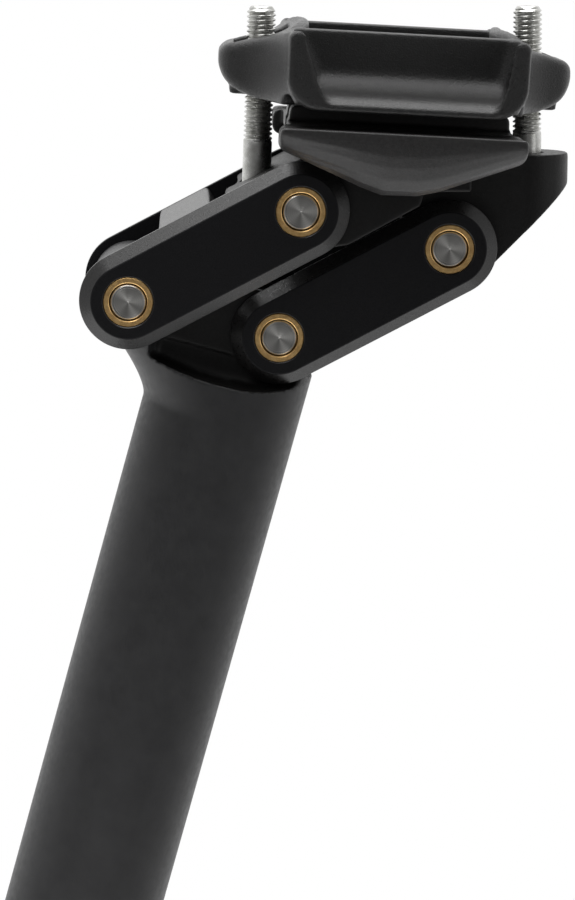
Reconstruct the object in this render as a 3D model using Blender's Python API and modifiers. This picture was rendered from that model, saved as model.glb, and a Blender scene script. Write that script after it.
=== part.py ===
"""A parallelogram suspension seatpost for a bicycle, as separate pieces.

Frame: +Z runs up the tube, +X points to the rear of the bicycle and +Y to its right.
The origin is on the tube's axis, at its bottom end. The helpers take millimetres.

The tube's forged head carries two lower pivots. Two H-shaped links join them to the
saddle carrier's two upper pivots. The links and the carrier move as a parallelogram. A roller
under the front link's web pushes a piston down against two nested coil springs in the tube.
A cradle and a top clamp, held by two bolts, grip the saddle's rails and tilt on the carrier.
"""
import math

import bmesh
import bpy
from mathutils import Matrix, Vector

MM = 0.001

# Tube and head
TUBE_RADIUS = 13.6
TUBE_BORE = 11.1
PIVOT_HEIGHT = 308.0
BORE_TOP = PIVOT_HEIGHT - 15.0
HEAD_HALF_WIDTH = 8.0
FRONT_LUG_HALF_WIDTH = 14.1
SLOT_HALF_WIDTH = 5.6
LUG_RADIUS = 6.8
FLARE_START = -16.8
FLAT_BOTTOM = -8.4
FLAT_STEP = -5.2
COVE_RADIUS = 1.5

# Linkage, at rest
FRONT_PIVOT_X = -20.5
PIVOT_SPACING = 26.2
LINK_LENGTH = 32.3
LINK_ANGLE = 43.0
LINK_RADIUS = 8.2
LINK_BEVEL = 2.2
AXLE_RADIUS = 3.0
BUSH_RADIUS = 4.2
RUNNING_GAP = 0.1
FACE_GAP = 0.3

# Layers from the middle plane outwards, each (inner, outer)
LOWER_PLATES = (8.3, 11.0)
CARRIER_EARS = (11.3, 14.1)
UPPER_PLATES = (14.4, 17.4)

# Saddle carrier, in a frame at the upper front pivot whose X is level on the bicycle
POST_LEAN = 15.5
CARRIER_SEAT_RADIUS = 16.5
BEAM_BOTTOM = 2.9
BOSS_TOP = 8.4
BOSS_RADIUS = 7.1
BOSS_HALF_WIDTH = 5.3

# Saddle clamp, in a frame at the tilt axis whose X runs along the rails
CLAMP_TILT = 3.1
TILT_AXIS = (17.0, 22.0)
FRONT_NUT_REACH = 23.4
REAR_NUT_REACH = 22.1
RAIL_RADIUS = 3.5
RAIL_SPACING = 44.0
RAIL_LEVEL = -7.0
RAIL_GRIP = 1.45
WING_HALF_WIDTH = 27.0
CRADLE_HALF_LENGTH = 20.2
CLAMP_HALF_LENGTH = 19.6
CLAMP_TOP = 7.2

# Bolts: M5 cap screws
BOLT_RADIUS = 2.5
BOLT_TOP = 33.1
HEAD_RADIUS = 4.25
HEAD_HEIGHT = 5.0
FRONT_BOLT_SEAT = 0.9
REAR_BOLT_SEAT = 5.7
FRONT_BOLT_LEAN = 1.8
REAR_BOLT_LEAN = -0.5

# Spring side
PUSHER = (15.5, -3.0)
PUSHER_RADIUS = 3.2
PISTON_RADIUS = 10.1
PISTON_BOTTOM = PIVOT_HEIGHT - 42.0
SPRING_BOTTOM = 156.3
SPRING_TOP = PISTON_BOTTOM - 0.4
PLUG_HEIGHT = 12.0

SIDES = 24
TUBE_SIDES = 48


def new_collection(name):
    collection = bpy.data.collections.new(name)
    bpy.context.scene.collection.children.link(collection)
    return collection


for leftover in list(bpy.data.objects):
    bpy.data.objects.remove(leftover)
PARTS = new_collection("suspension_seatpost")
GUIDES = new_collection("cutters_and_frames")


# ---------------------------------------------------------------- frames

def frame(name, x, z, angle, parent=None):
    """An empty whose local X is turned up from its parent's X by the angle."""
    empty = bpy.data.objects.new(name, None)
    empty.location = (x * MM, 0, z * MM)
    empty.rotation_euler = (0, -math.radians(angle), 0)
    empty.parent = parent
    GUIDES.objects.link(empty)
    return empty


def polar(length, angle):
    return length * math.cos(math.radians(angle)), length * math.sin(math.radians(angle))


LINK_X, LINK_Z = polar(LINK_LENGTH, LINK_ANGLE)
REAR_PIVOT_X = FRONT_PIVOT_X + PIVOT_SPACING
HEAD = frame("head_frame", 0, PIVOT_HEIGHT, 0)
UPPER = frame("upper_link_pivot", FRONT_PIVOT_X, PIVOT_HEIGHT, LINK_ANGLE)
LOWER = frame("lower_link_pivot", REAR_PIVOT_X, PIVOT_HEIGHT, LINK_ANGLE)
CARRIER = frame("carrier_pivot", FRONT_PIVOT_X + LINK_X, PIVOT_HEIGHT + LINK_Z, POST_LEAN)
CLAMP = frame("clamp_tilt_axis", *TILT_AXIS, -CLAMP_TILT, CARRIER)
ROLLER = frame("roller_axis", *PUSHER, 0, UPPER)
REAR_UPPER = polar(PIVOT_SPACING, -POST_LEAN)


def on_carrier(reach):
    """A point of the clamp's rail line, in the carrier's frame."""
    x, z = polar(reach, -CLAMP_TILT)
    return TILT_AXIS[0] + x, TILT_AXIS[1] + z


FRONT_NUT = frame("front_nut_axis", *on_carrier(-FRONT_NUT_REACH), -FRONT_BOLT_LEAN, CARRIER)
REAR_NUT = frame("rear_nut_axis", *on_carrier(REAR_NUT_REACH), -REAR_BOLT_LEAN, CARRIER)


# ---------------------------------------------------------------- outlines

def arc(x, z, radius, start, end, steps):
    """Points on an arc, from one angle in degrees to another."""
    turns = [start + (end - start) * i / steps for i in range(steps + 1)]
    return [(x + radius * math.cos(math.radians(t)), z + radius * math.sin(math.radians(t))) for t in turns]


def circle(x, z, radius, sides=SIDES):
    return arc(x, z, radius, 0, 360 - 360 / sides, sides - 1)


def stadium(length, radius, steps=12):
    return arc(0, 0, radius, 90, 270, steps) + arc(length, 0, radius, -90, 90, steps)


def rounded(corners, radius, steps=4):
    """A polygon with every corner turned into an arc of the radius, or less on a short side."""
    points = []
    for i, corner in enumerate(corners):
        here = Vector(corner)
        before = Vector(corners[i - 1]) - here
        after = Vector(corners[(i + 1) % len(corners)]) - here
        half = before.angle(after) / 2
        reach = min(radius / math.tan(half), 0.45 * before.length, 0.45 * after.length)
        start, end = here + before.normalized() * reach, here + after.normalized() * reach
        for step in range(steps + 1):
            t = step / steps
            points.append(tuple(start.lerp(here, t).lerp(here.lerp(end, t), t)))
    return points


def hull(points):
    """The convex outline around the points, counter-clockwise."""
    ordered = sorted(set(points))

    def chain(run):
        kept = []
        for p in run:
            while len(kept) > 1 and turn(kept[-2], kept[-1], p) <= 0:
                kept.pop()
            kept.append(p)
        return kept[:-1]

    def turn(a, b, c):
        return (b[0] - a[0]) * (c[1] - a[1]) - (b[1] - a[1]) * (c[0] - a[0])

    return chain(ordered) + chain(ordered[::-1])


# ---------------------------------------------------------------- solids

def closed(bm, name):
    """The finished mesh, with doubled points merged and its faces pointing out."""
    bmesh.ops.remove_doubles(bm, verts=bm.verts, dist=0.000002)
    bmesh.ops.recalc_face_normals(bm, faces=bm.faces)
    mesh = bpy.data.meshes.new(name)
    bm.to_mesh(mesh)
    bm.free()
    return mesh


def prism(name, loops, low, high):
    """A flat outline in X and Z, holes included, given a thickness along Y."""
    curve = bpy.data.curves.new(name, "CURVE")
    curve.dimensions = "2D"
    curve.fill_mode = "BOTH"
    curve.extrude = (high - low) / 2 * MM
    for loop in loops:
        spline = curve.splines.new("POLY")
        spline.points.add(len(loop) - 1)
        for point, (x, z) in zip(spline.points, loop):
            point.co = (x * MM, z * MM, 0, 1)
        spline.use_cyclic_u = True
    guide = bpy.data.objects.new(name, curve)
    GUIDES.objects.link(guide)
    evaluated = guide.evaluated_get(bpy.context.evaluated_depsgraph_get())
    flat = bpy.data.meshes.new_from_object(evaluated)
    flat.transform(Matrix.Translation((0, (low + high) / 2 * MM, 0)) @ Matrix.Rotation(math.pi / 2, 4, "X"))
    bm = bmesh.new()
    bm.from_mesh(flat)
    bpy.data.objects.remove(guide)
    return closed(bm, name)


def both_sides(name, loops, layer):
    """The same plate on each side of the middle plane."""
    low, high = layer
    return merged(name, [prism(name, loops, low, high), prism(name, loops, -high, -low)])


def loft(name, sections):
    """A capped skin through loops that have the same number of points."""
    bm = bmesh.new()
    rings = [[bm.verts.new(Vector(p) * MM) for p in section] for section in sections]
    count = len(rings[0])
    for lower, upper in zip(rings, rings[1:]):
        for i in range(count):
            j = (i + 1) % count
            bm.faces.new((lower[i], lower[j], upper[j], upper[i]))
    bm.faces.new(rings[0][::-1])
    bm.faces.new(rings[-1])
    return closed(bm, name)


def cylinder(name, radius, low, high, along="Z", at=(0, 0), sides=SIDES):
    """A solid cylinder. at is X and Y along Z, or X and Z along Y, or Y and Z along X."""
    bm = bmesh.new()
    bmesh.ops.create_cone(bm, cap_ends=True, segments=sides, radius1=radius * MM, radius2=radius * MM,
                          depth=(high - low) * MM)
    middle = (low + high) / 2
    turned = {"Z": Matrix.Identity(4), "Y": Matrix.Rotation(-math.pi / 2, 4, "X"),
              "X": Matrix.Rotation(math.pi / 2, 4, "Y")}[along]
    place = {"Z": (at[0], at[1], middle), "Y": (at[0], middle, at[1]), "X": (middle, at[0], at[1])}[along]
    bm.transform(Matrix.Translation(Vector(place) * MM) @ turned)
    return closed(bm, name)


def box(name, low, high):
    bm = bmesh.new()
    size = [h - l for l, h in zip(low, high)]
    middle = [(l + h) / 2 for l, h in zip(low, high)]
    bmesh.ops.create_cube(bm, size=1)
    bm.transform(Matrix.Translation(Vector(middle) * MM) @ Matrix.Diagonal((*[s * MM for s in size], 1)))
    return closed(bm, name)


def merged(name, meshes):
    """Several separate solids in one mesh."""
    bm = bmesh.new()
    for mesh in meshes:
        bm.from_mesh(mesh)
    return closed(bm, name)


def other_side(mesh):
    """The mesh's mirror image across the middle plane."""
    image = mesh.copy()
    image.transform(Matrix.Diagonal((1, -1, 1, 1)))
    image.flip_normals()
    return image


def ring(name, outer, inner, low, high, at=(0, 0)):
    """A round ring along Y."""
    return prism(name, [circle(*at, outer), circle(*at, inner)], low, high)


# ---------------------------------------------------------------- objects

def material(name, colour, roughness, metallic):
    made = bpy.data.materials.new(name)
    made.use_nodes = True
    shader = made.node_tree.nodes["Principled BSDF"]
    shader.inputs["Base Color"].default_value = (*colour, 1)
    shader.inputs["Roughness"].default_value = roughness
    shader.inputs["Metallic"].default_value = metallic
    made.diffuse_color = (*colour, 1)
    return made


BLACK_ANODISED = ((0.022, 0.022, 0.024), 0.5, 0.6)
BLACK_PAINT = ((0.018, 0.018, 0.019), 0.55, 0.3)
STEEL = ((0.55, 0.55, 0.54), 0.35, 1.0)
ZINC_STEEL = ((0.72, 0.72, 0.70), 0.3, 1.0)
BRONZE = ((0.62, 0.42, 0.17), 0.35, 1.0)
SPRING_STEEL = ((0.16, 0.17, 0.19), 0.35, 1.0)
BLACK_PLASTIC = ((0.03, 0.03, 0.032), 0.6, 0.0)


def part(name, mesh, finish, parent=None):
    """A finished piece: one object, with a material of its own."""
    thing = bpy.data.objects.new(name, mesh)
    mesh.materials.append(material(name + "_finish", *finish))
    mesh.shade_smooth()
    mesh.set_sharp_from_angle(angle=math.radians(35))
    thing.parent = parent
    PARTS.objects.link(thing)
    return thing


def pair(name, mesh, finish, parent):
    """The same piece on the bicycle's right side and, mirrored, on its left."""
    part(f"{name}_right", mesh, finish, parent)
    part(f"{name}_left", other_side(mesh), finish, parent)


def tool(target, mesh, operation):
    """Cut the mesh from the target, or join it on, in the target's own frame."""
    guide = bpy.data.objects.new(f"{target.name}_{operation.lower()}", mesh)
    guide.parent = target.parent
    guide.hide_render = True
    guide.display_type = "WIRE"
    GUIDES.objects.link(guide)
    change = target.modifiers.new(guide.name, "BOOLEAN")
    change.operation = operation
    change.object = guide
    change.solver = "EXACT"


def cut(target, *meshes):
    for mesh in meshes:
        tool(target, mesh, "DIFFERENCE")


def join(target, *meshes):
    for mesh in meshes:
        tool(target, mesh, "UNION")


# ---------------------------------------------------------------- post

def head_section(z):
    """A cross-section of the tube, drawn out to the front as it rises into the head."""
    rise = max(0.0, z - FLARE_START)
    front = TUBE_RADIUS + 0.35 * rise ** 1.4
    fullness = 1 - 0.03 * rise
    loop = []
    for x, y in circle(0, 0, 1, TUBE_SIDES):
        if x < -0.001:
            x = -abs(x) ** fullness * front / TUBE_RADIUS
            y = math.copysign(abs(y) ** fullness, y)
        loop.append((TUBE_RADIUS * x, TUBE_RADIUS * y, z))
    return loop


def make_post():
    heights = [-PIVOT_HEIGHT, FLARE_START, -15.5, -14, -12.5, -11, -9.5, -8, -6.5, -5, -3]
    post = part("post_tube", loft("post", [head_section(z) for z in heights]), BLACK_PAINT, HEAD)
    cheeks = hull(arc(FRONT_PIVOT_X, 0, LUG_RADIUS - 1.6, 60, 250, 10)
                  + arc(REAR_PIVOT_X, 0, LUG_RADIUS, -20, 100, 10) + [(-16.5, -8), (10.8, -9)])
    join(post, prism("cheeks", [cheeks], -HEAD_HALF_WIDTH, HEAD_HALF_WIDTH),
         cylinder("front_lug", LUG_RADIUS, -FRONT_LUG_HALF_WIDTH, FRONT_LUG_HALF_WIDTH, "Y",
                  (FRONT_PIVOT_X, 0), 32))
    for side in (1, -1):
        face = HEAD_HALF_WIDTH - 0.05
        cove = [(face, 12), (face, FLAT_STEP), (face - 0.4, FLAT_STEP - 0.3)]
        cove += arc(face - 0.4 + COVE_RADIUS, FLAT_BOTTOM, COVE_RADIUS, 180, 270, 5)
        cove += [(16, FLAT_BOTTOM - COVE_RADIUS), (16, 12)]
        cut(post, loft("flat", [[(x, side * y, z) for y, z in cove] for x in (-13.2, 20)]))
    cut(post, box("slot", (-11.5, -SLOT_HALF_WIDTH, -16), (10.4, SLOT_HALF_WIDTH, 12)),
        box("rear_mouth", (10.0, -SLOT_HALF_WIDTH, -6), (20, SLOT_HALF_WIDTH, 12)),
        cylinder("bore", TUBE_BORE, -PIVOT_HEIGHT - 1, BORE_TOP - PIVOT_HEIGHT, sides=TUBE_SIDES),
        cylinder("front_pin_hole", AXLE_RADIUS + RUNNING_GAP, -16, 16, "Y", (FRONT_PIVOT_X, 0)),
        cylinder("rear_pin_hole", AXLE_RADIUS + RUNNING_GAP, -16, 16, "Y", (REAR_PIVOT_X, 0)))


def make_lower_axles():
    reach = UPPER_PLATES[1]
    part("front_lower_axle", cylinder("axle", AXLE_RADIUS, -reach, reach, "Y", (FRONT_PIVOT_X, 0)),
         STEEL, HEAD)
    stub = cylinder("stub", AXLE_RADIUS, SLOT_HALF_WIDTH + 0.1, LOWER_PLATES[1], "Y", (REAR_PIVOT_X, 0))
    pair("rear_lower_stub_pin", stub, STEEL, HEAD)


# ---------------------------------------------------------------- links

def beveled_plates(name, layer):
    """A pair of round-ended plates whose outer faces are bevelled all round."""
    inner, outer = layer
    depth = 1.2
    levels = ((inner, LINK_RADIUS), (outer - depth, LINK_RADIUS), (outer, LINK_RADIUS - LINK_BEVEL))
    near = loft(name, [[(x, y, z) for x, z in stadium(LINK_LENGTH, r)] for y, r in levels])
    return merged(name, [near, other_side(near)])


def bore_link(link, reach):
    for x in (0, LINK_LENGTH):
        cut(link, cylinder("bush_bore", BUSH_RADIUS + RUNNING_GAP, -reach, reach, "Y", (x, 0)))


def add_bushes(prefix, layer, parent):
    """Two bronze bushes at each end of a link, flush with its plates."""
    inner, outer = layer
    for end, x in (("front", 0), ("rear", LINK_LENGTH)):
        bush = ring("bush", BUSH_RADIUS, AXLE_RADIUS + RUNNING_GAP, inner, outer, (x, 0))
        place = {"front": "lower", "rear": "upper"}[end]
        pair(f"{prefix}_{place}_bush", bush, BRONZE, parent)


def make_upper_link():
    link = part("upper_link", beveled_plates("plates", UPPER_PLATES), BLACK_ANODISED, UPPER)
    web = rounded([(9.7, 3.5), (19.4, 3.5), (19.4, 8.1), (9.7, 8.1)], 0.8, 2)
    lug = hull(circle(*PUSHER, 2.6, 16) + [(13.0, 4.2), (18.0, 4.2)])
    reach = UPPER_PLATES[0] + 0.8
    join(link, prism("web", [web], -reach, reach))
    for side in (1, -1):
        low, high = sorted((side * 2.4, side * 5.0))
        join(link, prism("pusher_lug", [lug], low, high))
    bore_link(link, 20)
    cut(link, cylinder("pin_hole", 1.6, -8, 8, "Y", PUSHER, 16))
    add_bushes("upper_link", UPPER_PLATES, UPPER)
    part("roller_pin", cylinder("pin", 1.5, -5.0, 5.0, "Y", PUSHER, 16), STEEL, UPPER)
    part("pusher_roller", ring("roller", PUSHER_RADIUS, 1.6, -2.1, 2.1), STEEL, ROLLER)


def make_lower_link():
    link = part("lower_link", beveled_plates("plates", LOWER_PLATES), BLACK_ANODISED, LOWER)
    web = rounded([(12.0, -8.1), (21.0, -8.1), (20.0, -4.5), (13.0, -4.5)], 0.8, 2)
    reach = LOWER_PLATES[0] + 0.6
    join(link, prism("web", [web], -reach, reach))
    bore_link(link, 14)
    add_bushes("lower_link", LOWER_PLATES, LOWER)


# ---------------------------------------------------------------- carrier

def seat_arc(start, end, steps=12):
    return arc(*TILT_AXIS, CARRIER_SEAT_RADIUS, start, end, steps)


def bolt_frame_cylinder(name, nut_frame, radius, low, high, sides=SIDES):
    """A cylinder on a bolt's axis, between two heights in the carrier's frame."""
    mesh = cylinder(name, radius, low - nut_frame.location.z / MM, high - nut_frame.location.z / MM,
                    sides=sides)
    mesh.transform(nut_frame.matrix_basis)
    return mesh


def make_carrier():
    beam = [(-10.2, BEAM_BOTTOM), (-10.0, 3.4), (4.4, 10.7)] + seat_arc(222, 306) + [(28.5, 8.2), (28.5, BEAM_BOTTOM)]
    width = CARRIER_EARS[1]
    carrier = part("saddle_carrier", prism("beam", [beam], -width, width), BLACK_PAINT, CARRIER)
    ear = hull(circle(0, 0, 7.0) + [(8.0, -5.9), (20.0, 0.6), (21.0, 4.0), (-4.0, 5.5)])
    join(carrier, both_sides("ears", [ear], CARRIER_EARS))
    boss = rounded([(-12.3, -4.6), (-1.2, -4.6), (3.0, 4.0), (3.0, 9.0), (-12.3, 1.7)], 1.0, 3)
    join(carrier, prism("front_boss", [boss], -BOSS_HALF_WIDTH, BOSS_HALF_WIDTH))
    rear_x, rear_z = REAR_UPPER
    boss_x = REAR_NUT.location.x / MM
    arm = arc(rear_x, rear_z, 7.4, 180, 310, 10)
    arm += [(boss_x, -5.0), (boss_x, BOSS_TOP), (27.5, BOSS_TOP), (24.0, 5.4), (17.0, 4.4)]
    join(carrier, prism("rear_arm", [arm], -7.0, 7.0),
         cylinder("rear_lug", 7.4, -HEAD_HALF_WIDTH, HEAD_HALF_WIDTH, "Y", REAR_UPPER))
    rear_boss = cylinder("rear_boss", BOSS_RADIUS, -14, BOSS_TOP, at=(boss_x, 0), sides=32)
    tool(carrier, rear_boss, "UNION")
    below = [(30.6, -12.5), (46.9, 4.0), (60, 4.0), (60, -30), (30.6, -30)]
    cut(carrier, prism("slope", [below], -20, 20))
    for nut, seat, low in ((FRONT_NUT, FRONT_BOLT_SEAT, -8), (REAR_NUT, REAR_BOLT_SEAT, -16)):
        cut(carrier, bolt_frame_cylinder("bolt_hole", nut, BOLT_RADIUS + 0.3, -16, 16, 16),
            bolt_frame_cylinder("head_recess", nut, HEAD_RADIUS + 0.2, low, seat))
    cut(carrier, cylinder("ear_pin_hole", AXLE_RADIUS + RUNNING_GAP, -16, 16, "Y"),
        cylinder("rear_pin_hole", AXLE_RADIUS + RUNNING_GAP, -16, 16, "Y", REAR_UPPER))
    stub = cylinder("stub", AXLE_RADIUS, CARRIER_EARS[0], UPPER_PLATES[1], "Y")
    pair("front_upper_stub_pin", stub, STEEL, CARRIER)
    reach = LOWER_PLATES[1]
    part("rear_upper_axle", cylinder("axle", AXLE_RADIUS, -reach, reach, "Y", REAR_UPPER), STEEL, CARRIER)


def make_bolt(name, nut_frame, seat):
    """A cap screw, head down, whose thread sticks out above its barrel nut."""
    level = nut_frame.location.z / MM
    top, head_top = BOLT_TOP - level, seat - level - 0.3
    profile = [(0, top), (BOLT_RADIUS - 0.7, top), (BOLT_RADIUS, top - 0.9), (BOLT_RADIUS, head_top),
               (HEAD_RADIUS, head_top), (HEAD_RADIUS, head_top - HEAD_HEIGHT),
               (0, head_top - HEAD_HEIGHT)]
    bm = bmesh.new()
    verts = [bm.verts.new((x * MM, 0, z * MM)) for x, z in profile]
    for pair in zip(verts, verts[1:]):
        bm.edges.new(pair)
    mesh = bpy.data.meshes.new(name)
    bm.to_mesh(mesh)
    bm.free()
    bolt = part(name, mesh, ZINC_STEEL, nut_frame)
    screw = bolt.modifiers.new("turn", "SCREW")
    screw.steps = screw.render_steps = SIDES
    screw.use_merge_vertices = True
    screw.merge_threshold = 0.00001
    screw.use_normal_calculate = True
    socket = cylinder("hex_socket", 2.3, head_top - HEAD_HEIGHT - 1, head_top - HEAD_HEIGHT + 2.8, sides=6)
    cut(bolt, socket)


# ---------------------------------------------------------------- saddle clamp

def make_cradle():
    """The lower half of the clamp: a round-bottomed block with a wing under each rail."""
    top = RAIL_LEVEL - RAIL_GRIP
    under = CARRIER_SEAT_RADIUS - FACE_GAP
    block = arc(0, 0, under, 214, 326, 12) + [(13.6, top), (-13.6, top)]
    cradle = part("lower_cradle", prism("block", [block], -13.8, 13.8), BLACK_PAINT, CLAMP)
    half = CRADLE_HALF_LENGTH
    deck = [(-half + 0.3, top - 0.1), (-half + 0.3, -10.7), (half - 0.3, -10.7), (half - 0.3, top - 0.1)]
    spine = [(-half + 0.5, -10.5), (half - 0.5, -10.5), (half - 0.5, -5.9), (-half + 0.5, -5.9)]
    join(cradle, prism("deck", [deck], -18.6, 18.6),
         prism("spine", [rounded(spine, 1.5, 3)], -9.0, 9.0))
    gusset = [(-half, top), (-half, -12.0), (-6.2, -17.2), (-3.2, -18.2), (2.8, -18.1), (6.2, -17.3),
              (half, -12.4), (half, top)]
    outline = rounded(gusset, 0.9, 3)
    for side in (1, -1):
        levels = ((17.8, 1.0), (26.2, 1.0), (WING_HALF_WIDTH, 0.965))
        sections = [[(x * k, side * y, top + (z - top) * k) for x, z in outline] for y, k in levels]
        join(cradle, loft("wing", sections))
        cut(cradle, rail_channel(side),
            box("bolt_notch", *ordered_box(side * 17.2, side * 24, 3.2, -12, -4)))


def rail_channel(side):
    """A rail's round channel, with a narrow flat along its bottom and its top."""
    half = 180 / 32
    loop = arc(side * RAIL_SPACING / 2, RAIL_LEVEL, RAIL_RADIUS + 0.05, half - 90, 270 - half, 31)
    return loft("rail_channel", [[(x, y, z) for y, z in loop] for x in (-30, 30)])


def ear_section(reach, half_width, low, high):
    """A rounded rectangle across the clamp, at one distance from its middle."""
    corners = rounded([(-half_width, low), (half_width, low), (half_width, high), (-half_width, high)],
                      min(1.6, 0.4 * (high - low)), 3)
    return [(reach, y, z) for y, z in corners]


EAR_STATIONS = ((17.8, 26.4, -5.2, 7.1), (19.6, 21.5, -5.4, 6.4), (20.9, 16.6, -5.4, 5.8),
                (22.4, 13.0, -5.3, 5.3), (24.0, 10.7, -5.1, 4.9), (25.8, 9.1, -4.6, 4.5),
                (27.5, 8.1, -3.9, 4.1), (28.9, 7.3, -2.9, 3.7), (29.9, 6.3, -1.6, 3.1), (30.5, 5.0, 0.0, 2.3))
REAR_EAR_LENGTH = 0.945


def pocket_section(side, y, inset):
    """The open pocket over a rail, drawn in towards its floor and ends as it nears the wall."""
    edge = [(-18.4, 9.0), (-18.4, 5.8), (-17.3, 3.8), (-16.2, 1.4), (-15.0, -1.2), (-13.4, -3.0),
            (13.4, -3.0), (15.0, -1.2), (16.2, 1.4), (17.3, 3.8), (18.4, 5.8), (18.4, 9.0)]
    return [(x - math.copysign(inset, x), side * y, max(z, inset - 3.0)) for x, z in edge]


def rib_section(end, y, thickness, low, high):
    """A slice of the bowed rib that closes the well at one end."""
    inner = 15.5 + 1.5 * (y / 15) ** 2
    corners = rounded([(inner, low), (inner + thickness, low), (inner + thickness, high), (inner, high)],
                      0.7, 2)
    return [(end * x, y, z) for x, z in corners]


def make_upper_clamp():
    """The top half of the clamp: a box beam with an open pocket over each rail and an ear at each end."""
    half = CLAMP_HALF_LENGTH
    bottom = RAIL_LEVEL + RAIL_GRIP
    corner = 5.3
    outline = arc(-half + corner, bottom + corner, corner, 180, 270, 7)
    outline += arc(half - corner, bottom + corner, corner, -90, 0, 7)
    outline += [(half, CLAMP_TOP - 0.9), (half - 0.9, CLAMP_TOP), (0.9 - half, CLAMP_TOP), (-half, CLAMP_TOP - 0.9)]
    edge = [(x * 0.98, z + 0.4 if z < 3 else z - 0.2) for x, z in outline]
    levels = ((-WING_HALF_WIDTH, edge), (-WING_HALF_WIDTH + 0.8, outline), (WING_HALF_WIDTH - 0.8, outline),
              (WING_HALF_WIDTH, edge))
    clamp = part("upper_clamp", loft("body", [[(x, y, z) for x, z in loop] for y, loop in levels]),
                 BLACK_PAINT, CLAMP)
    for end, length in ((-1, 1.0), (1, REAR_EAR_LENGTH)):
        sections = [ear_section(end * reach * (length if reach > 20 else 1), w, low, high)
                    for reach, w, low, high in EAR_STATIONS]
        tip = end * 28.4 * length
        join(clamp, loft("ear", sections), box("ear_foot", *ordered_box(tip - end * 3, tip, 4.2, -4.9, -1.5)))
    for side in (1, -1):
        levels = ((17.0, 2.4), (17.35, 1.5), (18.0, 0.7), (19.0, 0.2), (20.2, 0.0), (29.0, 0.0))
        cut(clamp, loft("pocket", [pocket_section(side, y, inset) for y, inset in levels]), rail_channel(side))
    cut(clamp, loft("well", [well_section(z) for z in (-1.5, 9.0)]))
    for end in (1, -1):
        steps = [-15.6 + 31.2 * i / 12 for i in range(13)]
        sections = [rib_section(end, y, 2.0, 5.0, 8.2 - 0.8 * (abs(y) / 15.6) ** 4) for y in steps]
        join(clamp, loft("rib", sections))
    for at in (-FRONT_NUT_REACH, REAR_NUT_REACH):
        pocket = arc(at, 0, 4.6, 180, 360, 12) + [(at + 4.6, 12), (at - 4.6, 12)]
        cut(clamp, prism("nut_pocket", [pocket], -6.2, 6.2),
            box("bolt_slot", (at - 3.9, -3.1, -12), (at + 3.9, 3.1, 3)))


def ordered_box(x1, x2, half_width, low, high):
    return (min(x1, x2), -half_width, low), (max(x1, x2), half_width, high)


def well_section(z):
    """The open well between the two pockets: its end walls bow inwards to the middle plane."""
    across = [-15.0 + 30.0 * i / 10 for i in range(11)]
    front = [(-15.5 - 1.5 * (y / 15) ** 2, y) for y in across]
    return [(x, y, z) for x, y in front + [(-x, y) for x, y in reversed(front)]]


def make_nut(name, nut_frame):
    nut = part(name, cylinder("nut", 4.3, -5.9, 5.9, "Y"), ZINC_STEEL, nut_frame)
    cut(nut, cylinder("thread", BOLT_RADIUS + 0.45, -8, 8, sides=16))


# ---------------------------------------------------------------- spring side

def pusher_level():
    """The height of the roller's lowest point at rest, above the lower pivots."""
    along, across = PUSHER
    turn = math.radians(LINK_ANGLE)
    return along * math.sin(turn) + across * math.cos(turn) - PUSHER_RADIUS


def tube_ring(name, outer, inner, low, high, sides=32):
    """A sleeve round the tube's axis, turned from its closed profile."""
    bm = bmesh.new()
    corners = [(outer, high), (outer, low), (inner, low), (inner, high)]
    verts = [bm.verts.new((x * MM, 0, z * MM)) for x, z in corners]
    for a, b in zip(verts, verts[1:] + verts[:1]):
        bm.edges.new((a, b))
    mesh = bpy.data.meshes.new(name)
    bm.to_mesh(mesh)
    bm.free()
    return mesh, sides


def turned_part(name, outer, inner, low, high, finish):
    mesh, sides = tube_ring(name, outer, inner, low, high)
    sleeve = part(name, mesh, finish)
    screw = sleeve.modifiers.new("turn", "SCREW")
    screw.steps = screw.render_steps = sides
    screw.use_merge_vertices = True
    screw.merge_threshold = 0.00001
    return sleeve


def coil(name, radius, wire, low, high, turns, steps):
    """A round-wire spring between two levels."""
    curve = bpy.data.curves.new(name, "CURVE")
    curve.dimensions = "3D"
    curve.bevel_depth = wire / 2 * MM
    curve.bevel_resolution = 2
    curve.use_fill_caps = True
    spline = curve.splines.new("POLY")
    count = turns * steps
    spline.points.add(count)
    base, rise = low + wire / 2 + 0.1, high - low - wire - 0.2
    for i, point in enumerate(spline.points):
        turn = 2 * math.pi * i / steps
        place = (radius * math.cos(turn), radius * math.sin(turn), base + rise * i / count)
        point.co = (*[v * MM for v in place], 1)
    guide = bpy.data.objects.new(name, curve)
    GUIDES.objects.link(guide)
    evaluated = guide.evaluated_get(bpy.context.evaluated_depsgraph_get())
    bm = bmesh.new()
    bm.from_mesh(bpy.data.meshes.new_from_object(evaluated))
    bpy.data.objects.remove(guide)
    return closed(bm, name)


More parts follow.
